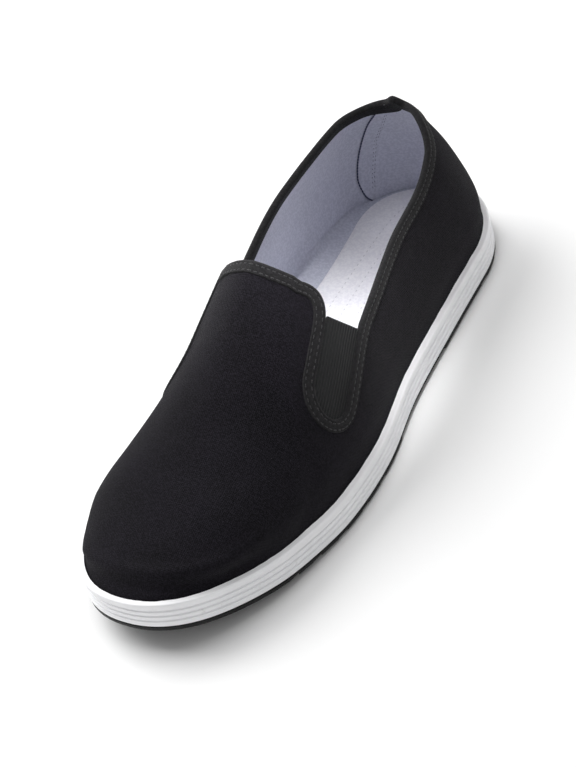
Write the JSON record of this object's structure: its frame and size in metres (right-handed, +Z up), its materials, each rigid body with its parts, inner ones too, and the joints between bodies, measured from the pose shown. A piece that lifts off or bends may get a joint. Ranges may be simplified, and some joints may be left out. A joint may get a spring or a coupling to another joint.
{
  "type": "cloth shoe",
  "caption": "Low slip-on cloth shoe with a closed black cotton upper, elastic side gores, a white ribbed side band and a zigzag rubber tread.",
  "frame": {"origin": "under the middle of the sole, on the floor", "axes": "+Z up, the toe points along -Y, +X is the outer (lateral) side of this left shoe"},
  "size_m": [0.1051, 0.28, 0.0934],
  "materials": {
    "outsole": "moulded black rubber, semi-matte",
    "midsole": "smooth white rubber, satin",
    "insole": "white woven footbed cloth",
    "upper": "black cotton canvas outside, pale lining inside",
    "collar_binding": "black cotton tape, two rows of stitching",
    "gore_lateral": "black ribbed elastic",
    "gore_medial": "black ribbed elastic"
  },
  "bodies": {
    "root": {"outsole": "outsole", "midsole": "midsole", "insole": "insole", "upper": "upper", "collar_binding": "collar_binding", "gore_lateral": "gore_lateral", "gore_medial": "gore_medial"}
  },
  "joints": []
}
